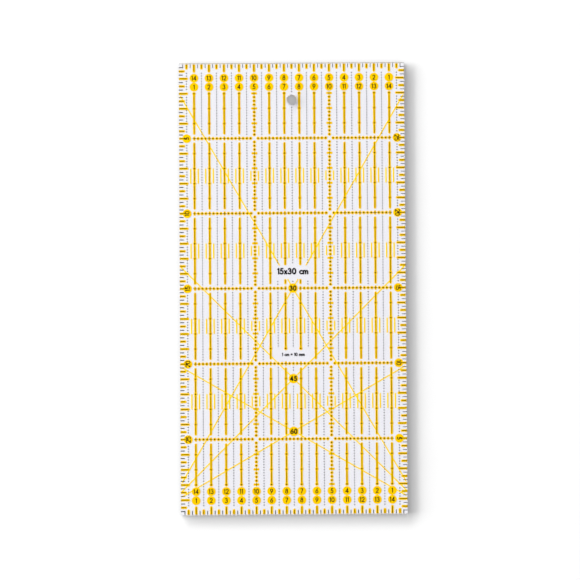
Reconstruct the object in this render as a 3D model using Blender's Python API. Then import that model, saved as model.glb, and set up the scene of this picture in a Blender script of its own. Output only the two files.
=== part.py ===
"""Quilting ruler: a clear acrylic sheet with a yellow and black screen print on its underside.

The sheet lies flat. +X is across it, +Y is along it towards the hang hole, and +Z is up. The origin is in the
middle of the underside. Three solids are made: the sheet, the yellow ink and the black ink.

The ink lies in a shallow relief in the underside, so that the sheet still rests on a flat face. Each ink is one
connected lattice, because a solid is one closed body.
"""

import math
from collections import Counter

import bmesh
import bpy
from mathutils import Vector
from mathutils.geometry import delaunay_2d_cdt

MM = 0.001

# Sheet
WIDTH = 150 * MM
LENGTH = 300 * MM
THICKNESS = 3 * MM
CORNER_RADIUS = 0.5 * MM
CORNER_STEPS = 3
HANG_HOLE_RADIUS = 3.2 * MM
HANG_HOLE_FROM_END = 24.4 * MM
HANG_HOLE_SIDES = 32

# Relief in the underside, which holds both inks
RELIEF_DEPTH = 0.15 * MM
RELIEF_BORDER = 0.5 * MM
HOLE_LAND_RADIUS = 4.1 * MM
YELLOW_LAYER = (0.010 * MM, 0.070 * MM)
BLACK_LAYER = (0.085 * MM, 0.135 * MM)

# Grid: a column every centimetre across, a row every five centimetres along
COLUMN_PITCH = 10 * MM
COLUMN_COUNT = 14
ROW_PITCH = 50 * MM
ROW_COUNT = 5
TICK_PITCH = 10 * MM
YELLOW_LINE = 1.25 * MM
BLACK_LINE = 0.3 * MM
GRID_END = 20 * MM

# Blank windows that interrupt the two middle columns, as distances from the hang-hole end
SIZE_WINDOW = (134.3 * MM, 143.3 * MM)
LOWER_WINDOW = (190.6 * MM, 197.8 * MM)
WINDOW_HALF_WIDTHS = (12.5 * MM, 11 * MM)
WINDOW_COLUMNS = (7, 8)

# Angle guides: degrees from the length of the sheet, and the crossing's distance from the hang-hole end
ANGLE_GUIDES = ((30, 150 * MM), (45, 210 * MM), (60, 245 * MM))
ANGLE_LINE = 0.6 * MM
ANGLE_DISC_RADIUS = 3 * MM

# Edge scales and the discs that carry the numbers
LONG_TICK = 5 * MM
TICK_FRAME_INSET = 0.85 * MM
TICK_FRAME_LINE = 0.2 * MM
PRINT_INSET = 0.7 * MM
NUMBER_DISC_RADIUS = 2.6 * MM
NUMBER_DISC_FROM_END = (9.6 * MM, 15.4 * MM)
SIDE_DISC_FROM_EDGE = 5 * MM
DISC_SIDES = 6

# Settings of the flat triangulation: what it fills, and how close two points merge
CDT_HULL = 0
CDT_INSIDE = 1
CDT_MERGE = 0.0001 * MM

# Looks
SHEET_COLOUR = (0.91, 0.93, 0.96, 1.0)
YELLOW_COLOUR = (0.98, 0.72, 0.01, 1.0)
BLACK_COLOUR = (0.02, 0.02, 0.02, 1.0)


def column_x(number):
    """The centre line of a column, counted from 1 at the left."""
    return number * COLUMN_PITCH - WIDTH / 2


def from_end(distance):
    """The Y of a place this far from the hang-hole end."""
    return LENGTH / 2 - distance


def make_material(name, colour, roughness, transmission=0.0):
    """A plain dielectric finish."""
    material = bpy.data.materials.new(name)
    material.use_nodes = True
    shader = material.node_tree.nodes["Principled BSDF"]
    shader.inputs["Base Color"].default_value = colour
    shader.inputs["Roughness"].default_value = roughness
    shader.inputs["Metallic"].default_value = 0.0
    shader.inputs["Transmission Weight"].default_value = transmission
    return material


def strip(start, end, width):
    """The outline of a straight line of this width."""
    along_x = end[0] - start[0]
    along_y = end[1] - start[1]
    scale = width / 2 / math.hypot(along_x, along_y)
    side_x = -along_y * scale
    side_y = along_x * scale
    return [
        (start[0] - side_x, start[1] - side_y),
        (end[0] - side_x, end[1] - side_y),
        (end[0] + side_x, end[1] + side_y),
        (start[0] + side_x, start[1] + side_y),
    ]


def polygon(centre, radius, sides):
    """The outline of a regular polygon around a circle's centre."""
    half_step = math.pi / sides
    angles = [half_step * (2 * index + 1) for index in range(sides)]
    return [(centre[0] + radius * math.cos(a), centre[1] + radius * math.sin(a)) for a in angles]


def rounded_rectangle(half_width, half_length, radius, steps):
    """The outline of a rectangle around the origin, with arcs at its corners."""
    outline = []
    for quarter, (side_x, side_y) in enumerate(((1, 1), (-1, 1), (-1, -1), (1, -1))):
        for step in range(steps + 1):
            angle = (quarter + step / steps) * math.pi / 2
            x = side_x * (half_width - radius) + radius * math.cos(angle)
            y = side_y * (half_length - radius) + radius * math.sin(angle)
            outline.append((x, y))
    return outline


def rectangle(low_x, low_y, high_x, high_y):
    """The outline of a rectangle between two corners."""
    return [(low_x, low_y), (high_x, low_y), (high_x, high_y), (low_x, high_y)]


def thicken(solid, base, height):
    """Raise flat faces into a closed solid."""
    grown = bmesh.ops.extrude_face_region(solid, geom=base)["geom"]
    top = [item for item in grown if isinstance(item, bmesh.types.BMVert)]
    bmesh.ops.translate(solid, verts=top, vec=(0, 0, height))


def link_solid(name, solid):
    """Make an object from a finished bmesh."""
    loose = [vertex for vertex in solid.verts if not vertex.link_faces]
    bmesh.ops.delete(solid, geom=loose, context="VERTS")
    bmesh.ops.recalc_face_normals(solid, faces=solid.faces)
    mesh = bpy.data.meshes.new(name)
    solid.to_mesh(mesh)
    solid.free()
    item = bpy.data.objects.new(name, mesh)
    bpy.context.scene.collection.objects.link(item)
    return item


def prism_object(name, outlines, low, high):
    """One object that holds a closed prism for each outline, between two heights."""
    solid = bmesh.new()
    for outline in outlines:
        base = solid.faces.new([solid.verts.new((x, y, low)) for x, y in outline])
        thicken(solid, [base], high - low)
    return link_solid(name, solid)


def as_helper(item):
    """Keep a cutter or an operand out of the finished model."""
    item.hide_render = True
    item.display_type = "WIRE"
    return item


def add_cut(item, cutter):
    """Take a helper's shape out of an object."""
    modifier = item.modifiers.new("Cut", "BOOLEAN")
    modifier.operation = "DIFFERENCE"
    modifier.solver = "EXACT"
    modifier.object = cutter


def covers(outline, point):
    """Whether a convex outline, listed counter-clockwise, holds a point."""
    for (x, y), (next_x, next_y) in zip(outline, outline[1:] + outline[:1]):
        if (next_x - x) * (point.y - y) < (next_y - y) * (point.x - x):
            return False
    return True


def union_border(outlines):
    """The points and edges around the area that overlapping outlines cover together."""
    corners = [Vector(corner) for outline in outlines for corner in outline]
    numbers = iter(range(len(corners)))
    loops = [[next(numbers) for _ in outline] for outline in outlines]
    points, _, tiles, _, _, covered_by = delaunay_2d_cdt(corners, [], loops, CDT_INSIDE, CDT_MERGE)
    uses = Counter()
    for tile, cover in zip(tiles, covered_by):
        if cover:
            uses.update(tuple(sorted(edge)) for edge in zip(tile, tile[1:] + tile[:1]))
    edges = [edge for edge, count in uses.items() if count == 1]
    kept = sorted({index for edge in edges for index in edge})
    place = {index: new_index for new_index, index in enumerate(kept)}
    return [points[index] for index in kept], [(place[start], place[end]) for start, end in edges]


def film(name, outlines, layer, material):
    """A thin layer of ink: the area that overlapping outlines cover together, made into one solid."""
    points, edges = union_border(outlines)
    points, _, tiles, _, _, _ = delaunay_2d_cdt(points, edges, [], CDT_HULL, CDT_MERGE)
    low, high = layer
    solid = bmesh.new()
    vertices = [solid.verts.new((point.x, point.y, low)) for point in points]
    for tile in tiles:
        centre = sum((points[index] for index in tile), Vector((0, 0))) / len(tile)
        if any(covers(outline, centre) for outline in outlines):
            solid.faces.new([vertices[index] for index in tile])
    thicken(solid, solid.faces[:], high - low)
    item = link_solid(name, solid)
    item.data.materials.append(material)


def column_spans(end_margin):
    """The stretches of each column, as (x, from, to) in distances from the hang-hole end."""
    spans = []
    for number in range(1, COLUMN_COUNT + 1):
        x = column_x(number)
        breaks = (SIZE_WINDOW, LOWER_WINDOW) if number in WINDOW_COLUMNS else ()
        start = end_margin
        for window_start, window_end in breaks:
            spans.append((x, start, window_start - RELIEF_BORDER))
            start = window_end + RELIEF_BORDER
        spans.append((x, start, LENGTH - end_margin))
    return spans


def grid_outlines(line, end_margin):
    """Columns and rows; the rows run from side to side and join the columns together."""
    reach = WIDTH / 2 - PRINT_INSET
    rows = [from_end(ROW_PITCH * number) for number in range(1, ROW_COUNT + 1)]
    outlines = [strip((-reach, y), (reach, y), line) for y in rows]
    for x, start, end in column_spans(end_margin):
        outlines.append(strip((x, from_end(start)), (x, from_end(end)), line))
    return outlines


def angle_outlines():
    """Each pair of angle guides, which cross on the middle line and stop at the print's edge or at a window."""
    outlines = []
    reach = WIDTH / 2 - PRINT_INSET
    for degrees, crossing in ANGLE_GUIDES:
        rise = 1 / math.tan(math.radians(degrees))
        outlines.append(polygon((0, from_end(crossing)), ANGLE_DISC_RADIUS, DISC_SIDES))
        for side in (-1, 1):
            for direction in (-1, 1):
                far_x = min(reach, (from_end(PRINT_INSET) - from_end(crossing)) / rise)
                if direction < 0:
                    far_x = min(reach, (LENGTH - crossing - PRINT_INSET) / rise)
                for near, far in angle_stretches(crossing, rise, direction, ANGLE_LINE, far_x):
                    start = (side * near, from_end(crossing) + direction * rise * near)
                    end = (side * far, from_end(crossing) + direction * rise * far)
                    outlines.append(strip(start, end, ANGLE_LINE))
    return outlines


def angle_stretches(crossing, rise, direction, near, far):
    """A guide's stretches in X, cut where it would run through the window above its crossing."""
    window = SIZE_WINDOW
    if direction < 0 or not window[0] < crossing - rise * near or window[1] > crossing:
        return [(near, far)]
    window_near = (crossing - window[1] - RELIEF_BORDER) / rise
    window_far = (crossing - window[0] + RELIEF_BORDER) / rise
    if window_near > WINDOW_HALF_WIDTHS[0]:
        return [(near, far)]
    return [(near, window_near), (window_far, far)]


def number_discs():
    """The discs that carry the numbers: two rows at each end, and one beside each row at both sides."""
    centres = []
    for number in range(1, COLUMN_COUNT + 1):
        for distance in NUMBER_DISC_FROM_END:
            centres.append((column_x(number), from_end(distance)))
            centres.append((column_x(number), -from_end(distance)))
    for number in range(1, ROW_COUNT + 1):
        for side in (-1, 1):
            centres.append((side * (WIDTH / 2 - SIDE_DISC_FROM_EDGE), from_end(ROW_PITCH * number)))
    return [polygon(centre, NUMBER_DISC_RADIUS, DISC_SIDES) for centre in centres]


def edge_ticks():
    """The ticks of all four edge scales, with the hairline frame that joins them."""
    out_x = WIDTH / 2 - TICK_FRAME_INSET
    out_y = LENGTH / 2 - TICK_FRAME_INSET
    outlines = []
    for side in (-1, 1):
        outlines.append(strip((side * out_x, -out_y), (side * out_x, out_y), TICK_FRAME_LINE))
        outlines.append(strip((-out_x, side * out_y), (out_x, side * out_y), TICK_FRAME_LINE))
        for index in range(1, round(WIDTH / TICK_PITCH)):
            x = index * TICK_PITCH - WIDTH / 2
            inner = side * (LENGTH / 2 - LONG_TICK)
            outlines.append(strip((x, side * out_y), (x, inner), BLACK_LINE))
        for index in range(1, round(LENGTH / TICK_PITCH)):
            y = index * TICK_PITCH - LENGTH / 2
            inner = side * (WIDTH / 2 - LONG_TICK)
            outlines.append(strip((side * out_x, y), (inner, y), BLACK_LINE))
    return outlines


def make_sheet(material):
    """The acrylic sheet with its hang hole and the shallow relief for the ink."""
    sheet_outline = rounded_rectangle(WIDTH / 2, LENGTH / 2, CORNER_RADIUS, CORNER_STEPS)
    sheet = prism_object("acrylic_sheet", [sheet_outline], 0, THICKNESS)
    half_width = WIDTH / 2 - RELIEF_BORDER
    half_length = LENGTH / 2 - RELIEF_BORDER
    relief = as_helper(prism_object(
        "print_relief", [rectangle(-half_width, -half_length, half_width, half_length)], -THICKNESS, RELIEF_DEPTH))
    hole_centre = (0, from_end(HANG_HOLE_FROM_END))
    lands = [polygon(hole_centre, HOLE_LAND_RADIUS, HANG_HOLE_SIDES)]
    for (start, end), half in zip((SIZE_WINDOW, LOWER_WINDOW), WINDOW_HALF_WIDTHS):
        lands.append(rectangle(-half, from_end(end), half, from_end(start)))
    land_blocks = as_helper(prism_object("relief_lands", lands, -2 * THICKNESS, THICKNESS))
    add_cut(relief, land_blocks)
    hole = as_helper(prism_object(
        "hang_hole", [polygon(hole_centre, HANG_HOLE_RADIUS, HANG_HOLE_SIDES)], -THICKNESS, 2 * THICKNESS))
    add_cut(sheet, relief)
    add_cut(sheet, hole)
    sheet.data.materials.append(material)


def make_yellow_ink(material):
    """The yellow halo of the grid, the angle guides and the number discs."""
    outlines = grid_outlines(YELLOW_LINE, PRINT_INSET) + angle_outlines() + number_discs()
    film("yellow_ink", outlines, YELLOW_LAYER, material)


def make_black_ink(material):
    """The thin centre lines of the grid, and the edge scales."""
    outlines = grid_outlines(BLACK_LINE, GRID_END) + edge_ticks()
    film("black_ink", outlines, BLACK_LAYER, material)


def main():
    for item in list(bpy.data.objects):
        bpy.data.objects.remove(item, do_unlink=True)
    make_sheet(make_material("clear_acrylic", SHEET_COLOUR, 0.05, transmission=1.0))
    make_yellow_ink(make_material("yellow_ink", YELLOW_COLOUR, 0.4))
    make_black_ink(make_material("black_ink", BLACK_COLOUR, 0.4))


main()
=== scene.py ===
"""Looks of the quilting ruler: a clear acrylic sheet, its yellow and black print, and a plain studio.

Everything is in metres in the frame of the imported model: +X across the sheet, +Y towards the hang hole,
+Z up. A place on the print is given as across, the distance from the left edge, and down, the distance from
the hang-hole end. The ink is bonded to the underside of the sheet: black was printed first, and yellow over
it, so from above black shows on yellow, and from below yellow hides the black.
"""

import math

import bmesh
import bpy
import numpy as np
from mathutils import Matrix, Vector
from mathutils.geometry import delaunay_2d_cdt


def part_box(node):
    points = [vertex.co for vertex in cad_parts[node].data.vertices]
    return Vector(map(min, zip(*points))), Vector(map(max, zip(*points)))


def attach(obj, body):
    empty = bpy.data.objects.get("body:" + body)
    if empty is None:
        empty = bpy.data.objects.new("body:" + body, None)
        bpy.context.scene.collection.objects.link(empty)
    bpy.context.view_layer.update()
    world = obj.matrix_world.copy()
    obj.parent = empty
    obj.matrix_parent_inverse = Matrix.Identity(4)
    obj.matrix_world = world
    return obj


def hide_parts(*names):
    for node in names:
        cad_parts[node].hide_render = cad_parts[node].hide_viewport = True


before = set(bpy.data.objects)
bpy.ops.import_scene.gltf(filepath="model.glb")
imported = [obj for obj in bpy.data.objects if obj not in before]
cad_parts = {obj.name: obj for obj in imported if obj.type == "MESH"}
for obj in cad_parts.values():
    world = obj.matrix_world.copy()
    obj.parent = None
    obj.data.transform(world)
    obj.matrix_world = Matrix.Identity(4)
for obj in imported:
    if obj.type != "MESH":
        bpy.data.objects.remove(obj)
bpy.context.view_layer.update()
SHEET_LOW, SHEET_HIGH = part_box("acrylic_sheet")

MM = 0.001
WIDTH = SHEET_HIGH.x - SHEET_LOW.x
LENGTH = SHEET_HIGH.y - SHEET_LOW.y
TOP = SHEET_HIGH.z

# Sheet
CORNER_RADIUS = 0.5 * MM
LEAST_CORNER_RADIUS = 0.1 * CORNER_RADIUS
CORNER_STEPS = 6
EDGE_ROUND = 0.2 * MM
HOLE_ROUND = 0.4 * MM
ROUND_STEPS = 4
HOLE_RADIUS = 3.2 * MM
HOLE_DOWN = 24.4 * MM
HOLE_SIDES = 96
FLAT_FACE_WEIGHT = 100

# Heights of the ink. Its top lies a hair inside the sheet, because it is bonded to it.
UNDERSIDE = 0.030 * MM
YELLOW_TOP = 0.034 * MM
BLACK_TOP = 0.042 * MM
YELLOW_BOTTOM = 0.0
BLACK_BOTTOM = 0.012 * MM
LAYER_STEP = 0.0008 * MM
INK_HEIGHTS = {
    "yellow_ink": (YELLOW_BOTTOM, YELLOW_TOP),
    "black_ink": (BLACK_BOTTOM, BLACK_TOP),
}

# Print: yellow stands out around black by the halo
CENTIMETRE = 10 * MM
HALO = 0.66 * MM
BLACK_LINE = 0.38 * MM
YELLOW_LINE = BLACK_LINE + 2 * HALO
HAIRLINE = 0.3 * MM
CAP_STEPS = 8

# Slack in counting whole centimetres, so that a mark at the very end of a stretch counts
COUNT_SLACK = 1e-6

# Grid of columns, one every centimetre across, and rows, one every five centimetres down
COLUMN_COUNT = 14
DOTTED_COLUMNS = (5, 10)
ROW_PITCH = 50 * MM
ROW_COUNT = 5
ROWS_DOWN = [ROW_PITCH * number for number in range(1, ROW_COUNT + 1)]
GRID_START = 20 * MM
GRID_END = LENGTH - GRID_START
ROW_GAP = 2.5 * MM
SHORT_PIECE = 1.5 * MM
ROW_HAIRLINE = 1.2 * MM
DOT_PITCH = 2.5 * MM
DOT_RADIUS = 1.15 * MM
DOT_CORE_RADIUS = 0.5 * MM
MARK_RADIUS = 1.22 * MM
MARK_CORE_RADIUS = 0.54 * MM
MARK_GAP = 1.35 * MM
MARK_SIDES = 24
BAR_HALF = 2.05 * MM
BAR_LINE = 1.7 * MM
BAR_CORE = 0.2 * MM

# Half-centimetre dots
FINE_DOT_RADIUS = 0.37 * MM
FINE_DOT_SIDES = 12
FINE_DOT_PITCH = 1.784 * MM
FINE_DOT_MARGIN = 2.7 * MM
FINE_DOT_FIRST = 6.4 * MM

# Quarter marks: thin lines beside the columns, midway between the rows
QUARTER_LINE = 0.9 * MM
QUARTER_OFFSET = 2.5 * MM
QUARTER_HALF = 5 * MM
QUARTER_HALF_BY_DOTS = 3.3 * MM
QUARTER_CENTRES = (75 * MM, 125 * MM, 175 * MM, 225 * MM)

# Angle guides: degrees from the length of the sheet, and how far down they cross
ANGLE_GUIDES = ((30, 150 * MM), (45, 210 * MM), (60, 245 * MM))
ANGLE_LINE = 0.8 * MM
ANGLE_DISC_RADIUS = 3.2 * MM

# Windows in the grid that hold the two labels: top and bottom, as distances down, and half width
LABEL_WINDOW = (134.9 * MM, 143.9 * MM, 13 * MM)
LOWER_WINDOW = (190.0 * MM, 197.5 * MM, 11 * MM)
WINDOW_COLUMNS = (7, 8)

# Edge scales: how far in the ticks begin and end, and how bold they are printed at each side
TICK_PITCH = 2.5 * MM
END_TICK_START = 0.4 * MM
SIDE_TICK_START = 0.1 * MM
SHORT_TICK = 2.5 * MM
MIDDLE_TICK = 3.95 * MM
LONG_TICK = 6.0 * MM
SHORT_TICK_LINES = {"top": 0.36 * MM, "bottom": 0.45 * MM, "left": 0.52 * MM, "right": 0.37 * MM}
END_TICK_HALO = 1.9 * MM
SIDE_TICK_HALO = 1.75 * MM
TICK_CORE = 0.46 * MM
TICK_CORE_CUT = 0.8 * MM

# Number discs
NUMBER_DISC_RADIUS = 2.95 * MM
NUMBER_DISCS_DOWN = (9.6 * MM, 15.55 * MM)
SIDE_DISC_IN = 5.0 * MM
DISC_SIDES = 64
NUMBER_HEIGHT = 3.3 * MM
NUMBER_STROKE = 0.55 * MM
ANGLE_NUMBER_HEIGHT = 3.6 * MM
ANGLE_NUMBER_STROKE = 0.8 * MM

# Plain labels in the two windows: how far down, height and width of the strokes
LABELS = {
    "15x30 cm": (138.7 * MM, 4.4 * MM, 0.95 * MM),
    "1 cm = 10 mm": (194.0 * MM, 2.3 * MM, 0.52 * MM),
}

# Flat triangulation: fill only what the outlines hold, and merge points closer than this
CDT_INSIDE = 1
CDT_MERGE = 0.0001 * MM

# Screen ink. A noise is given by its features per metre and its detail. The shade and the gloss follow a
# broad cloud, the shade also follows some of the fine grain of the mesh, and the relief follows the grain.
INK_CLOUD = (90, 3)
INK_GRAIN = (2600, 2)
GRAIN_IN_SHADE = 0.35
SHADE_RANGE = (0.45, 0.95)
CLOUD_RANGE = (0.3, 0.7)
INK_ROUGHNESS = (0.42, 0.58)
INK_RELIEF_STRENGTH = 0.25
INK_RELIEF_DEPTH = 0.004 * MM

# Colours of each ink where it lies thin and where it lies thick
INK_COLOURS = {
    "yellow_screen_ink": ((0.86, 0.52, 0.0, 1.0), (0.89, 0.56, 0.0, 1.0)),
    "fine_yellow_ink": ((0.95, 0.64, 0.0, 1.0), (0.98, 0.69, 0.0, 1.0)),
    "black_screen_ink": ((0.007, 0.005, 0.007, 1.0), (0.004, 0.003, 0.004, 1.0)),
}

# Acrylic: broad smears in its gloss, and fine wiping marks along the sheet, deeper on the cut walls
ACRYLIC_COLOUR = (0.975, 0.985, 1.0, 1.0)
ACRYLIC_IOR = 1.49
SMEARS = (25, 3)
SMEAR_RANGE = (0.35, 0.65)
WIPING_MARKS = (700, 4, (1.0, 0.06, 1.0))
MARK_STRENGTH = 0.05
FACE_ROUGHNESS = (0.015, 0.035)
FACE_MARK_DEPTH = 0.002 * MM
CUT_ROUGHNESS = (0.05, 0.12)
CUT_MARK_DEPTH = 0.02 * MM

# The share of lamp light that passes a flat face, that a cut edge or the hole's wall lets out of the sheet,
# and that such a wall lets in. Light on its way out through a wall is mostly trapped or bent away, so little
# of it lands beside the sheet.
FACE_PASSES = (0.958, 0.950, 0.973, 1.0)
EDGE_LETS_OUT = (0.15, 0.15, 0.15, 1.0)
HOLE_LETS_OUT = (0.3, 0.3, 0.3, 1.0)
WALL_LETS_IN = (1.0, 1.0, 1.0, 1.0)

# Floor: matte card with a faint cloud in its tone
FLOOR_SIZE = 6.0
FLOOR_DROP = 0.02 * MM
FLOOR_CLOUD = (40, 3)
FLOOR_TONES = ((0.79, 0.79, 0.79, 1.0), (0.81, 0.81, 0.81, 1.0))
FLOOR_ROUGHNESS = 0.9

# Camera
CAMERA_LENS = 100
CAMERA_PLACE = Vector((-0.0083, -0.0271, 1.0714))
CAMERA_AIM = Vector((-0.0019, -0.0012, 0.0))
CAMERA_ROLL = math.radians(-0.388)

# Room light: it falls to its strength overhead as the height of its direction crosses the zenith span
WORLD_STRENGTH = 0.57
ZENITH_STRENGTH = 0.02
ZENITH_SPAN = (0.93, 0.975)

# Soft lights at the left and at the far left: azimuth from +X and elevation in degrees, width and height in
# metres, and watts
SOFTBOX_DISTANCE = 8.0
SOFTBOXES = {
    "side_softbox": (170, 14.5, 6.64, 2.59, 1370),
    "back_softbox": (124, 16.4, 6.02, 1.60, 790),
}


def across_to_x(across):
    """The X of a place this far from the left edge."""
    return across - WIDTH / 2


def down_to_y(down):
    """The Y of a place this far from the hang-hole end."""
    return LENGTH / 2 - down


def column_across(number):
    """How far across a numbered column stands."""
    return number * CENTIMETRE


# ---------------------------------------------------------------- flat shapes

def arc(centre, radii, start, end, steps=20):
    """Points along an ellipse from one angle to another, in degrees, counter-clockwise from +X."""
    points = []
    for step in range(steps + 1):
        angle = math.radians(start + (end - start) * step / steps)
        points.append((centre[0] + radii[0] * math.cos(angle), centre[1] + radii[1] * math.sin(angle)))
    return points


def disc(centre, radius, sides):
    """The outline of a round mark."""
    return arc(centre, (radius, radius), 0, 360 * (sides - 1) / sides, sides - 1)


def bar(start, end, width):
    """The outline of a straight line with square ends."""
    along = (Vector(end) - Vector(start)).normalized() * (width / 2)
    side = Vector((-along.y, along.x))
    return [Vector(start) - side, Vector(end) - side, Vector(end) + side, Vector(start) + side]


def capsule(start, end, width):
    """The outline of a straight line with round ends."""
    heading = math.degrees(math.atan2(end[1] - start[1], end[0] - start[0]))
    radii = (width / 2, width / 2)
    return (arc(end, radii, heading - 90, heading + 90, CAP_STEPS)
            + arc(start, radii, heading + 90, heading + 270, CAP_STEPS))


def covered(outline, places):
    """Which places, in rows of X and Y, a convex outline listed counter-clockwise holds."""
    corners = np.array(outline)
    sides = np.roll(corners, -1, axis=0) - corners
    offsets = places[:, None, :] - corners[None, :, :]
    return np.all(sides[:, 0] * offsets[:, :, 1] >= sides[:, 1] * offsets[:, :, 0], axis=1)


def merged(outlines):
    """One flat shape, as points and tiles, of the area that overlapping convex outlines cover together."""
    corners = [Vector(corner) for outline in outlines for corner in outline]
    numbers = iter(range(len(corners)))
    loops = [[next(numbers) for _ in outline] for outline in outlines]
    points, _, tiles, _, _, _ = delaunay_2d_cdt(corners, [], loops, CDT_INSIDE, CDT_MERGE)
    places = np.array(points)
    middles = np.array([places[tile].mean(axis=0) for tile in tiles])
    kept = np.any([covered(outline, middles) for outline in outlines], axis=0)
    return points, [tile for tile, keep in zip(tiles, kept) if keep]


def single(outline):
    """One flat shape of one outline."""
    return outline, [range(len(outline))]


def placed(shape, across, down, turn=0.0):
    """A shape moved from the origin to its place on the print, turned by some degrees."""
    points, tiles = shape
    cosine = math.cos(math.radians(turn))
    sine = math.sin(math.radians(turn))
    x = across_to_x(across)
    y = down_to_y(down)
    return [(x + cosine * p[0] - sine * p[1], y + sine * p[0] + cosine * p[1]) for p in points], tiles


# ---------------------------------------------------------------- lettering

def half_turned(paths, width):
    """Paths turned by half a turn inside their box."""
    return [[(width - x, 1 - y) for x, y in path] for path in paths]


SIX = [arc((0.28, 0.28), (0.28, 0.28), 0, 360, 28), [(0.42, 1.0), (0.035, 0.42)]]

# Each glyph: its width and the centre lines of its strokes, in a box one unit high
GLYPHS = {
    "0": (0.58, [arc((0.29, 0.5), (0.29, 0.5), 0, 360, 32)]),
    "1": (0.16, [[(0.0, 0.88), (0.16, 1.0), (0.16, 0.0)]]),
    "2": (0.54, [arc((0.26, 0.72), (0.26, 0.28), 165, -35) + [(0.0, 0.0), (0.54, 0.0)]]),
    "3": (0.54, [arc((0.25, 0.765), (0.22, 0.235), 155, -90), arc((0.25, 0.265), (0.28, 0.265), 90, -150)]),
    "4": (0.62, [[(0.46, 0.0), (0.46, 1.0), (0.0, 0.25), (0.62, 0.25)]]),
    "5": (0.54, [[(0.50, 1.0), (0.16, 1.0), (0.09, 0.56)] + arc((0.24, 0.31), (0.29, 0.31), 120, -145)]),
    "6": (0.56, SIX),
    "7": (0.52, [[(0.0, 1.0), (0.52, 1.0), (0.16, 0.0)]]),
    "8": (0.54, [arc((0.27, 0.77), (0.21, 0.23), 0, 360, 24), arc((0.27, 0.27), (0.27, 0.27), 0, 360, 28)]),
    "9": (0.56, half_turned(SIX, 0.56)),
    "x": (0.40, [[(0.0, 0.0), (0.40, 0.60)], [(0.40, 0.0), (0.0, 0.60)]]),
    "c": (0.42, [arc((0.30, 0.30), (0.30, 0.30), 50, 310)]),
    "m": (0.80, [[(0.0, 0.0), (0.0, 0.60)],
                 arc((0.20, 0.38), (0.20, 0.22), 180, 0) + [(0.40, 0.0)],
                 arc((0.60, 0.38), (0.20, 0.22), 180, 0) + [(0.80, 0.0)]]),
    "=": (0.45, [[(0.0, 0.36), (0.45, 0.36)], [(0.0, 0.64), (0.45, 0.64)]]),
    " ": (0.20, []),
}
GLYPH_GAP = 0.30


def lettering(text, height, stroke):
    """The flat shape of a line of text, centred on the origin."""
    scale = height - stroke
    gap = GLYPH_GAP * scale
    width = sum(GLYPHS[character][0] for character in text) * scale + gap * (len(text) - 1)
    left = -width / 2
    outlines = []
    for character in text:
        glyph_width, paths = GLYPHS[character]
        for path in paths:
            points = [(left + x * scale, (y - 0.5) * scale) for x, y in path]
            outlines += [capsule(start, end, stroke) for start, end in zip(points, points[1:])]
        left += glyph_width * scale + gap
    return merged(outlines)


# ---------------------------------------------------------------- materials

def add_node(tree, kind, settings=None, **inputs):
    """A shader node with its settings, and with input values or links given by socket name."""
    node = tree.nodes.new(kind)
    for key, value in (settings or {}).items():
        setattr(node, key, value)
    for key, value in inputs.items():
        socket = node.inputs[key.replace("_", " ")]
        if isinstance(value, bpy.types.NodeSocket):
            tree.links.new(value, socket)
        else:
            socket.default_value = value
    return node


def empty_material(name):
    """A material with an output node and nothing else."""
    material = bpy.data.materials.new(name)
    material.use_nodes = True
    tree = material.node_tree
    tree.nodes.clear()
    return material, tree, tree.nodes.new("ShaderNodeOutputMaterial")


def noise(tree, scale, detail, stretch=(1.0, 1.0, 1.0)):
    """A noise pattern's value in object space, with features about 1 / scale metres wide."""
    place = add_node(tree, "ShaderNodeTexCoord").outputs["Object"]
    mapping = add_node(tree, "ShaderNodeMapping", Vector=place, Scale=stretch)
    texture = add_node(
        tree, "ShaderNodeTexNoise", Vector=mapping.outputs["Vector"], Scale=scale, Detail=detail)
    return texture.outputs["Fac"]


def remap(tree, value, low, high, new_low, new_high):
    """A value moved linearly from one range to another."""
    node = add_node(tree, "ShaderNodeMapRange", Value=value)
    for key, number in (("From Min", low), ("From Max", high), ("To Min", new_low), ("To Max", new_high)):
        node.inputs[key].default_value = number
    return node.outputs["Result"]


def ink_material(name, thin, thick):
    """Screen ink: it lies a little thicker or thinner from place to place, and has the grain of the mesh."""
    material, tree, output = empty_material(name)
    cloud = noise(tree, *INK_CLOUD)
    grain = noise(tree, *INK_GRAIN)
    shade = add_node(tree, "ShaderNodeMix", {"data_type": "RGBA"})
    mottle = add_node(tree, "ShaderNodeMath", {"operation": "MULTIPLY_ADD"})
    tree.links.new(grain, mottle.inputs[0])
    mottle.inputs[1].default_value = GRAIN_IN_SHADE
    tree.links.new(cloud, mottle.inputs[2])
    tree.links.new(remap(tree, mottle.outputs[0], *SHADE_RANGE, 0, 1), shade.inputs["Factor"])
    shade.inputs["A"].default_value = thin
    shade.inputs["B"].default_value = thick
    relief = add_node(
        tree, "ShaderNodeBump", Height=grain, Strength=INK_RELIEF_STRENGTH, Distance=INK_RELIEF_DEPTH)
    shader = add_node(
        tree, "ShaderNodeBsdfPrincipled", Base_Color=shade.outputs["Result"],
        Roughness=remap(tree, cloud, *CLOUD_RANGE, *INK_ROUGHNESS), Normal=relief.outputs["Normal"])
    shader.inputs["Specular IOR Level"].default_value = 0.0
    tree.links.new(shader.outputs[0], output.inputs["Surface"])
    return material


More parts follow.
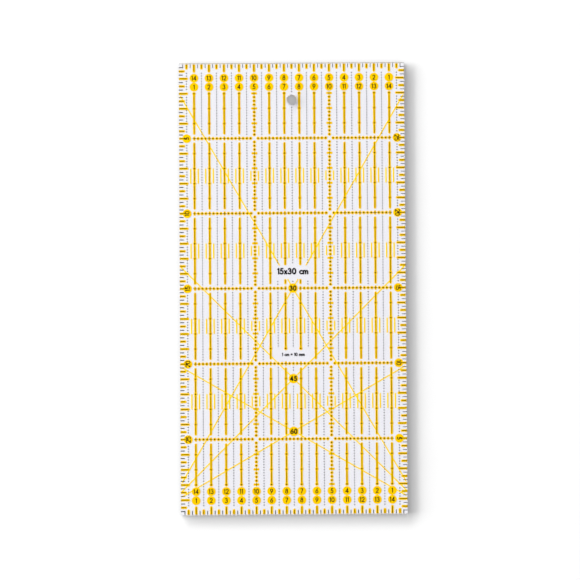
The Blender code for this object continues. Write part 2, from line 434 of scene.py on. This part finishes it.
def acrylic_material(name, roughness, mark_depth, lets_out, lets_in):
    """Clear acrylic: it bends what is seen through it, and light for matte surfaces passes straight through.

    The renderer follows that light backwards, from the surface to the lamp. So where the path meets the
    outside of the acrylic, the light is on its way out, and where it meets the inside, the light is on its
    way in.
    """
    material, tree, output = empty_material(name)
    wiped = noise(tree, *WIPING_MARKS)
    smears = noise(tree, *SMEARS)
    marks = add_node(tree, "ShaderNodeBump", Height=wiped, Strength=MARK_STRENGTH, Distance=mark_depth)
    glass = add_node(
        tree, "ShaderNodeBsdfPrincipled", Base_Color=ACRYLIC_COLOUR, IOR=ACRYLIC_IOR,
        Roughness=remap(tree, smears, *SMEAR_RANGE, *roughness), Normal=marks.outputs["Normal"])
    glass.inputs["Transmission Weight"].default_value = 1.0
    through = add_node(tree, "ShaderNodeBsdfTransparent")
    through.inputs["Color"].default_value = lets_in
    if lets_out != lets_in:
        inside = add_node(tree, "ShaderNodeNewGeometry").outputs["Backfacing"]
        choice = add_node(tree, "ShaderNodeMix", {"data_type": "RGBA"}, Factor=inside)
        choice.inputs["A"].default_value = lets_out
        choice.inputs["B"].default_value = lets_in
        tree.links.new(choice.outputs["Result"], through.inputs["Color"])
    path = add_node(tree, "ShaderNodeLightPath")
    straight = add_node(tree, "ShaderNodeMath", {"operation": "MAXIMUM"})
    tree.links.new(path.outputs["Is Shadow Ray"], straight.inputs[0])
    tree.links.new(path.outputs["Is Diffuse Ray"], straight.inputs[1])
    mix = add_node(tree, "ShaderNodeMixShader", Fac=straight.outputs[0])
    tree.links.new(glass.outputs[0], mix.inputs[1])
    tree.links.new(through.outputs[0], mix.inputs[2])
    tree.links.new(mix.outputs[0], output.inputs["Surface"])
    return material


def floor_material():
    """Matte pale card."""
    material, tree, output = empty_material("studio_floor")
    tone = add_node(tree, "ShaderNodeMix", {"data_type": "RGBA"}, Factor=noise(tree, *FLOOR_CLOUD))
    tone.inputs["A"].default_value = FLOOR_TONES[0]
    tone.inputs["B"].default_value = FLOOR_TONES[1]
    shader = add_node(
        tree, "ShaderNodeBsdfPrincipled", Base_Color=tone.outputs["Result"], Roughness=FLOOR_ROUGHNESS)
    shader.inputs["Specular IOR Level"].default_value = 0.0
    tree.links.new(shader.outputs[0], output.inputs["Surface"])
    return material


# ---------------------------------------------------------------- the sheet

def sheet_outline(inset):
    """The sheet's outline with rounded corners, moved inwards by an inset."""
    radius = max(CORNER_RADIUS - inset, LEAST_CORNER_RADIUS)
    half_x = WIDTH / 2 - inset - radius
    half_y = LENGTH / 2 - inset - radius
    outline = []
    for quarter, (side_x, side_y) in enumerate(((1, 1), (-1, 1), (-1, -1), (1, -1))):
        start = quarter * 90
        outline += arc((side_x * half_x, side_y * half_y), (radius, radius), start, start + 90, CORNER_STEPS)
    return outline


def hole_outline(inset):
    """The hang hole's outline, widened by an inset; it runs clockwise, as a hole does."""
    radius = HOLE_RADIUS + inset
    return disc((0, down_to_y(HOLE_DOWN)), radius, HOLE_SIDES)[::-1]


def rim_levels(rounding):
    """The inset and height of each ring of a wall whose two rims are rounded, from the underside up."""
    levels = []
    for step in range(ROUND_STEPS + 1):
        angle = step / ROUND_STEPS * math.pi / 2
        levels.append((rounding * (1 - math.sin(angle)), UNDERSIDE + rounding * (1 - math.cos(angle))))
    middle = UNDERSIDE + TOP
    return levels + [(inset, middle - height) for inset, height in reversed(levels)]


def add_wall(solid, outline_at, rounding, material_index):
    """The rings of one wall, joined by faces; returns its lowest and highest ring of edges."""
    rings = []
    for inset, height in rim_levels(rounding):
        rings.append([solid.verts.new((x, y, height)) for x, y in outline_at(inset)])
    for lower, upper in zip(rings, rings[1:]):
        for index, corner in enumerate(lower):
            after = (index + 1) % len(lower)
            face = solid.faces.new((corner, lower[after], upper[after], upper[index]))
            face.material_index = material_index
    ends = []
    for ring in (rings[0], rings[-1]):
        ends.append([solid.edges.get((a, b)) for a, b in zip(ring, ring[1:] + ring[:1])])
    return ends


def make_sheet():
    """The acrylic sheet: flat faces, walls with softened rims, and the hang hole."""
    solid = bmesh.new()
    outer = add_wall(solid, sheet_outline, EDGE_ROUND, 1)
    inner = add_wall(solid, hole_outline, HOLE_ROUND, 2)
    for outer_edges, inner_edges in zip(outer, inner):
        bmesh.ops.triangle_fill(solid, edges=outer_edges + inner_edges, use_beauty=True)
    bmesh.ops.recalc_face_normals(solid, faces=solid.faces)
    mesh = bpy.data.meshes.new("clear_sheet")
    solid.to_mesh(mesh)
    solid.free()
    mesh.shade_smooth()
    mesh.materials.append(acrylic_material(
        "clear_acrylic", FACE_ROUGHNESS, FACE_MARK_DEPTH, FACE_PASSES, FACE_PASSES))
    mesh.materials.append(acrylic_material(
        "acrylic_cut_edge", CUT_ROUGHNESS, CUT_MARK_DEPTH, EDGE_LETS_OUT, WALL_LETS_IN))
    mesh.materials.append(acrylic_material(
        "acrylic_hole_wall", CUT_ROUGHNESS, CUT_MARK_DEPTH, HOLE_LETS_OUT, WALL_LETS_IN))
    sheet = bpy.data.objects.new("clear_sheet", mesh)
    bpy.context.scene.collection.objects.link(sheet)
    sheet.modifiers.new("Flat faces stay flat", "WEIGHTED_NORMAL").weight = FLAT_FACE_WEIGHT
    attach(sheet, "root")
    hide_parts("acrylic_sheet")


# ---------------------------------------------------------------- the print

def film(name, shapes, slot, layer=0, ink=None):
    """One piece of print: flat shapes raised into a thin layer of ink, which rides on the sheet's body."""
    bottom, top = INK_HEIGHTS[slot]
    bottom += layer * LAYER_STEP
    top -= layer * LAYER_STEP
    solid = bmesh.new()
    for points, tiles in shapes:
        corners = [solid.verts.new((point[0], point[1], bottom)) for point in points]
        for tile in tiles:
            solid.faces.new([corners[index] for index in tile])
    grown = bmesh.ops.extrude_face_region(solid, geom=solid.faces[:])["geom"]
    raised = [item for item in grown if isinstance(item, bmesh.types.BMVert)]
    bmesh.ops.translate(solid, verts=raised, vec=(0, 0, top - bottom))
    bmesh.ops.recalc_face_normals(solid, faces=solid.faces)
    mesh = bpy.data.meshes.new(name)
    solid.to_mesh(mesh)
    solid.free()
    mesh.materials.append(INKS[ink or slot])
    piece = bpy.data.objects.new(name, mesh)
    bpy.context.scene.collection.objects.link(piece)
    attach(piece, "root")
    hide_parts(slot)


def window_cut(spans, window):
    """Spans with the part that lies in a window taken out."""
    kept = []
    for start, end in spans:
        kept.append((start, min(end, window[0])))
        kept.append((max(start, window[1]), end))
    return [(start, end) for start, end in kept if end - start > BLACK_LINE]


def column_spans(number):
    """The stretches of a sight line as (from, to) down the sheet: long ones, and a short one at each row."""
    edges = [GRID_START]
    for row in ROWS_DOWN:
        edges += [row - ROW_GAP, row - SHORT_PIECE, row + SHORT_PIECE, row + ROW_GAP]
    edges.append(GRID_END)
    spans = list(zip(edges[::2], edges[1::2]))
    if number in WINDOW_COLUMNS:
        spans = window_cut(window_cut(spans, LABEL_WINDOW), LOWER_WINDOW)
    return spans


def marked_centimetres(start, end):
    """The whole centimetres in a stretch, its ends included, away from the rows."""
    first = math.ceil(start / CENTIMETRE - COUNT_SLACK)
    last = math.floor(end / CENTIMETRE + COUNT_SLACK)
    places = [number * CENTIMETRE for number in range(first, last + 1)]
    return [place for place in places if all(abs(place - row) > ROW_GAP for row in ROWS_DOWN)]


def core_stretches(start, end, marks):
    """Where a sight line's black core runs: not at its ends, nor close to a mark."""
    edges = [start + YELLOW_LINE / 2]
    for mark in marks:
        edges += [mark - MARK_GAP, mark + MARK_GAP]
    edges.append(end - YELLOW_LINE / 2)
    return [(near, far) for near, far in zip(edges[::2], edges[1::2]) if far > near]


def sight_lines(yellow):
    """Every sight line: a yellow halo with a bulge at each centimetre, or a black core and dots."""
    shapes = []
    for number in range(1, COLUMN_COUNT + 1):
        if number in DOTTED_COLUMNS:
            continue
        x = across_to_x(column_across(number))
        for start, end in column_spans(number):
            marks = marked_centimetres(start, end)
            if yellow:
                ends = [(x, down_to_y(start + YELLOW_LINE / 2)), (x, down_to_y(end - YELLOW_LINE / 2))]
                bulges = [disc((x, down_to_y(mark)), MARK_RADIUS, MARK_SIDES) for mark in marks]
                shapes.append(merged([capsule(*ends, YELLOW_LINE)] + bulges))
                continue
            for near, far in core_stretches(start, end, marks):
                shapes.append(single(capsule((x, down_to_y(near)), (x, down_to_y(far)), BLACK_LINE)))
            for mark in marks:
                shapes.append(single(disc((x, down_to_y(mark)), MARK_CORE_RADIUS, MARK_SIDES)))
    return shapes


def dotted_lines(yellow):
    """The dots of the two dotted columns and of the rows, and the bars across the dotted columns."""
    radius = DOT_RADIUS if yellow else DOT_CORE_RADIUS
    width = BAR_LINE if yellow else BAR_CORE
    reach = BAR_HALF - BAR_LINE / 2
    shapes = []
    for number in DOTTED_COLUMNS:
        x = across_to_x(column_across(number))
        for index in range(round(GRID_START / DOT_PITCH), round(GRID_END / DOT_PITCH) + 1):
            down = index * DOT_PITCH
            if any(abs(down - row) < DOT_PITCH / 2 for row in ROWS_DOWN):
                continue
            y = down_to_y(down)
            if index % round(CENTIMETRE / DOT_PITCH) == 0:
                shapes.append(single(capsule((x - reach, y), (x + reach, y), width)))
            else:
                shapes.append(single(disc((x, y), radius, MARK_SIDES)))
    first = round(CENTIMETRE / DOT_PITCH)
    for row in ROWS_DOWN:
        for index in range(first, first * COLUMN_COUNT + 1):
            x = across_to_x(index * DOT_PITCH)
            # The disc of the first pair of angle guides stands on a row, in place of the row's middle dots
            in_disc = abs(row - ANGLE_GUIDES[0][1]) < MM and abs(x) < ANGLE_DISC_RADIUS
            if index % first and not in_disc:
                shapes.append(single(disc((x, down_to_y(row)), radius, MARK_SIDES)))
    return shapes


def hairlines():
    """The fine black strokes across the short pieces at the rows, and down through the bars."""
    shapes = []
    for number in range(1, COLUMN_COUNT + 1):
        x = across_to_x(column_across(number))
        if number not in DOTTED_COLUMNS:
            for row in ROWS_DOWN:
                y = down_to_y(row)
                shapes.append(single(bar((x - ROW_HAIRLINE, y), (x + ROW_HAIRLINE, y), HAIRLINE)))
            continue
        for index in range(round(GRID_START / CENTIMETRE), round(GRID_END / CENTIMETRE) + 1):
            if index % round(ROW_PITCH / CENTIMETRE):
                y = down_to_y(index * CENTIMETRE)
                shapes.append(single(bar((x, y - ROW_HAIRLINE), (x, y + ROW_HAIRLINE), HAIRLINE)))
    return shapes


def fine_dot_places():
    """How far down each half-centimetre dot stands: evenly spaced between each two rows."""
    places = []
    count = round((ROW_PITCH - 2 * FINE_DOT_MARGIN) / FINE_DOT_PITCH)
    pitch = (ROW_PITCH - 2 * FINE_DOT_MARGIN) / count
    for row in ROWS_DOWN[:-1]:
        places += [row + FINE_DOT_MARGIN + pitch * index for index in range(count + 1)]
    end_count = round((ROW_PITCH - FINE_DOT_MARGIN - FINE_DOT_FIRST) / FINE_DOT_PITCH)
    end_pitch = (ROW_PITCH - FINE_DOT_MARGIN - FINE_DOT_FIRST) / end_count
    for index in range(end_count + 1):
        down = FINE_DOT_FIRST + end_pitch * index
        places += [down, LENGTH - down]
    return places


def is_blank(across, down):
    """Whether a half-centimetre dot here would run into the hole, a disc, a window or an edge tick."""
    from_middle = abs(across_to_x(across))
    if math.hypot(from_middle, down - HOLE_DOWN) < HOLE_RADIUS + 2 * HOLE_ROUND + FINE_DOT_RADIUS:
        return True
    for _, crossing in ANGLE_GUIDES:
        if math.hypot(from_middle, down - crossing) < ANGLE_DISC_RADIUS + 2 * FINE_DOT_RADIUS:
            return True
    for start, end, half_width in (LABEL_WINDOW, LOWER_WINDOW):
        if start - HALO < down < end and from_middle < half_width:
            return True
    from_side = WIDTH / 2 - from_middle
    if from_side > LONG_TICK:
        return False
    near_tick = abs(down / CENTIMETRE - round(down / CENTIMETRE)) * CENTIMETRE
    near_row = min(abs(down - row) for row in ROWS_DOWN)
    return near_tick < YELLOW_LINE / 2 + FINE_DOT_RADIUS or near_row < NUMBER_DISC_RADIUS + FINE_DOT_RADIUS


def half_centimetre_dots():
    """The small dots midway between the columns."""
    shapes = []
    for number in range(COLUMN_COUNT + 1):
        across = (number + 0.5) * CENTIMETRE
        for down in fine_dot_places():
            if not is_blank(across, down):
                place = (across_to_x(across), down_to_y(down))
                shapes.append(single(disc(place, FINE_DOT_RADIUS, FINE_DOT_SIDES)))
    return shapes


def quarter_marks():
    """Thin lines a quarter of a centimetre beside each column, halfway between the rows."""
    shapes = []
    for number in range(1, COLUMN_COUNT + 1):
        half = QUARTER_HALF_BY_DOTS if number in DOTTED_COLUMNS else QUARTER_HALF
        for side in (-1, 1):
            x = across_to_x(column_across(number) + side * QUARTER_OFFSET)
            for centre in QUARTER_CENTRES:
                y = down_to_y(centre)
                shapes.append(single(bar((x, y + half), (x, y - half), QUARTER_LINE)))
    return shapes


def guide_stretches(crossing, steepness, direction, reach):
    """Where one angle guide runs, as (near, far) distances from the middle line, cut at the label window."""
    start, end, half_width = LABEL_WINDOW
    near = (crossing - end) / steepness
    far = (crossing - start) / steepness
    if direction < 0 or near < 0 or near > half_width:
        return [(0, reach)]
    return [(0, near), (far, reach)]


def angle_guides():
    """The thin guides for each angle, which cross on the middle line and run to the edges."""
    outlines = []
    for degrees, crossing in ANGLE_GUIDES:
        steepness = 1 / math.tan(math.radians(degrees))
        for direction in (1, -1):
            room = crossing if direction > 0 else LENGTH - crossing
            reach = min(WIDTH / 2, room / steepness) - ANGLE_LINE
            for near, far in guide_stretches(crossing, steepness, direction, reach):
                for side in (-1, 1):
                    ends = [(side * x, down_to_y(crossing) + direction * steepness * x) for x in (near, far)]
                    outlines.append(bar(ends[0], ends[1], ANGLE_LINE))
    return [merged(outlines)]


def angle_discs():
    """The yellow discs where each pair of angle guides crosses."""
    return [single(disc((0, down_to_y(crossing)), ANGLE_DISC_RADIUS, DISC_SIDES))
            for _, crossing in ANGLE_GUIDES]


def edge_marks():
    """Each mark of the four edge scales, as (outer point, inward direction, number of 2.5 mm steps, side)."""
    marks = []
    for index in range(1, round(WIDTH / TICK_PITCH)):
        x = across_to_x(index * TICK_PITCH)
        y = LENGTH / 2 - END_TICK_START
        marks.append((Vector((x, y)), Vector((0, -1)), index, "top"))
        marks.append((Vector((x, -y)), Vector((0, 1)), index, "bottom"))
    for index in range(1, round(LENGTH / TICK_PITCH)):
        x = WIDTH / 2 - SIDE_TICK_START
        y = down_to_y(index * TICK_PITCH)
        marks.append((Vector((-x, y)), Vector((1, 0)), index, "left"))
        marks.append((Vector((x, y)), Vector((-1, 0)), index, "right"))
    return marks


def edge_ticks(yellow):
    """The ticks of the edge scales: plain black at the odd steps, haloed and longer at the even ones."""
    shapes = []
    for outer, inward, index, side in edge_marks():
        if index % 2:
            if not yellow:
                shapes.append(single(bar(outer, outer + inward * SHORT_TICK, SHORT_TICK_LINES[side])))
            continue
        reach = MIDDLE_TICK if index % 4 else LONG_TICK
        if side in ("top", "bottom"):
            reach -= END_TICK_START
            width = END_TICK_HALO
        else:
            width = SIDE_TICK_HALO
        if not yellow:
            reach -= TICK_CORE_CUT
            width = TICK_CORE
        shapes.append(merged([
            bar(outer, outer + inward * (reach - width / 2), width),
            disc(outer + inward * (reach - width / 2), width / 2, MARK_SIDES)]))
    return shapes


def number_places():
    """Each numbered disc, as (text, across, down, turn)."""
    places = []
    near, far = NUMBER_DISCS_DOWN
    for number in range(1, COLUMN_COUNT + 1):
        across = column_across(number)
        other = COLUMN_COUNT + 1 - number
        places.append((str(other), across, near, 0))
        places.append((str(number), across, far, 0))
        places.append((str(other), across, LENGTH - far, 0))
        places.append((str(number), across, LENGTH - near, 0))
    step = round(ROW_PITCH / CENTIMETRE)
    for index, row in enumerate(ROWS_DOWN):
        places.append((str(step * (index + 1)), SIDE_DISC_IN, row, 90))
        places.append((str(step * (ROW_COUNT - index)), WIDTH - SIDE_DISC_IN, row, -90))
    return places


def number_discs():
    """The yellow discs behind the numbers."""
    shape = single(disc((0, 0), NUMBER_DISC_RADIUS, DISC_SIDES))
    return [placed(shape, across, down) for _, across, down, _ in number_places()]


def numbers():
    """The numbers on the discs."""
    shapes = {text: lettering(text, NUMBER_HEIGHT, NUMBER_STROKE) for text, _, _, _ in number_places()}
    return [placed(shapes[text], across, down, turn) for text, across, down, turn in number_places()]


def angle_numbers():
    """The degrees of each pair of angle guides."""
    return [placed(lettering(str(degrees), ANGLE_NUMBER_HEIGHT, ANGLE_NUMBER_STROKE), WIDTH / 2, crossing)
            for degrees, crossing in ANGLE_GUIDES]


def labels():
    """The sheet's size in the upper window, and the scale in the lower one."""
    return [placed(lettering(text, height, stroke), WIDTH / 2, down)
            for text, (down, height, stroke) in LABELS.items()]


def make_print():
    """Every family of marks as a piece of its own; marks that cross lie in separate layers."""
    film("yellow_sight_lines", sight_lines(True), "yellow_ink")
    film("yellow_dotted_lines", dotted_lines(True), "yellow_ink")
    film("yellow_edge_ticks", edge_ticks(True), "yellow_ink", 1)
    film("yellow_number_discs", number_discs(), "yellow_ink")
    film("yellow_angle_discs", angle_discs(), "yellow_ink")
    film("yellow_angle_guides", angle_guides(), "yellow_ink", 2, "fine_yellow_ink")
    film("yellow_quarter_marks", quarter_marks(), "yellow_ink", 3, "fine_yellow_ink")
    film("black_sight_lines", sight_lines(False), "black_ink")
    film("black_dotted_lines", dotted_lines(False), "black_ink")
    film("black_hairlines", hairlines(), "black_ink", 1)
    film("black_half_centimetre_dots", half_centimetre_dots(), "black_ink")
    film("black_edge_ticks", edge_ticks(False), "black_ink")
    film("black_numbers", numbers(), "black_ink", 2)
    film("black_angle_numbers", angle_numbers(), "black_ink")
    film("black_labels", labels(), "black_ink")


# ---------------------------------------------------------------- the studio

def add_floor():
    """A plain pale floor just under the ruler."""
    half = FLOOR_SIZE / 2
    mesh = bpy.data.meshes.new("studio_floor")
    height = -FLOOR_DROP
    mesh.from_pydata(
        [(-half, -half, height), (half, -half, height), (half, half, height), (-half, half, height)],
        [], [(0, 1, 2, 3)])
    mesh.materials.append(floor_material())
    floor = bpy.data.objects.new("studio_floor", mesh)
    bpy.context.scene.collection.objects.link(floor)


def add_world():
    """Even white room light, darker straight overhead, where the camera stands."""
    world = bpy.data.worlds.new("studio")
    world.use_nodes = True
    tree = world.node_tree
    tree.nodes.clear()
    place = add_node(tree, "ShaderNodeTexCoord").outputs["Generated"]
    height = add_node(tree, "ShaderNodeSeparateXYZ", Vector=place).outputs["Z"]
    light = add_node(
        tree, "ShaderNodeBackground", Color=(1.0, 1.0, 1.0, 1.0),
        Strength=remap(tree, height, *ZENITH_SPAN, WORLD_STRENGTH, ZENITH_STRENGTH))
    output = tree.nodes.new("ShaderNodeOutputWorld")
    tree.links.new(light.outputs[0], output.inputs["Surface"])
    bpy.context.scene.world = world


def add_softboxes():
    """The soft lights, each aimed at the middle of the sheet, and kept out of its mirror reflections."""
    for name, (azimuth, elevation, width, height, power) in SOFTBOXES.items():
        data = bpy.data.lights.new(name, "AREA")
        data.shape = "RECTANGLE"
        data.size = width
        data.size_y = height
        data.energy = power
        lamp = bpy.data.objects.new(name, data)
        lamp.visible_glossy = False
        level = math.cos(math.radians(elevation))
        away = Vector((level * math.cos(math.radians(azimuth)), level * math.sin(math.radians(azimuth)),
                       math.sin(math.radians(elevation))))
        lamp.location = away * SOFTBOX_DISTANCE
        lamp.rotation_euler = (-away).to_track_quat("-Z", "Y").to_euler()
        bpy.context.scene.collection.objects.link(lamp)


def add_camera():
    """The camera, almost straight above the sheet."""
    data = bpy.data.cameras.new("camera")
    data.lens = CAMERA_LENS
    camera = bpy.data.objects.new("camera", data)
    forward = (CAMERA_AIM - CAMERA_PLACE).normalized()
    right = forward.cross(Vector((0, 1, 0))).normalized()
    basis = Matrix((right, right.cross(forward), -forward)).transposed()
    camera.matrix_world = (
        Matrix.Translation(CAMERA_PLACE) @ basis.to_4x4() @ Matrix.Rotation(CAMERA_ROLL, 4, "Z"))
    bpy.context.scene.collection.objects.link(camera)
    bpy.context.scene.camera = camera


INKS = {
    "yellow_ink": ink_material("yellow_screen_ink", *INK_COLOURS["yellow_screen_ink"]),
    "fine_yellow_ink": ink_material("fine_yellow_ink", *INK_COLOURS["fine_yellow_ink"]),
    "black_ink": ink_material("black_screen_ink", *INK_COLOURS["black_screen_ink"]),
}

add_camera()
make_sheet()
make_print()
add_floor()
add_world()
add_softboxes()
bpy.context.scene.view_settings.view_transform = "Standard"
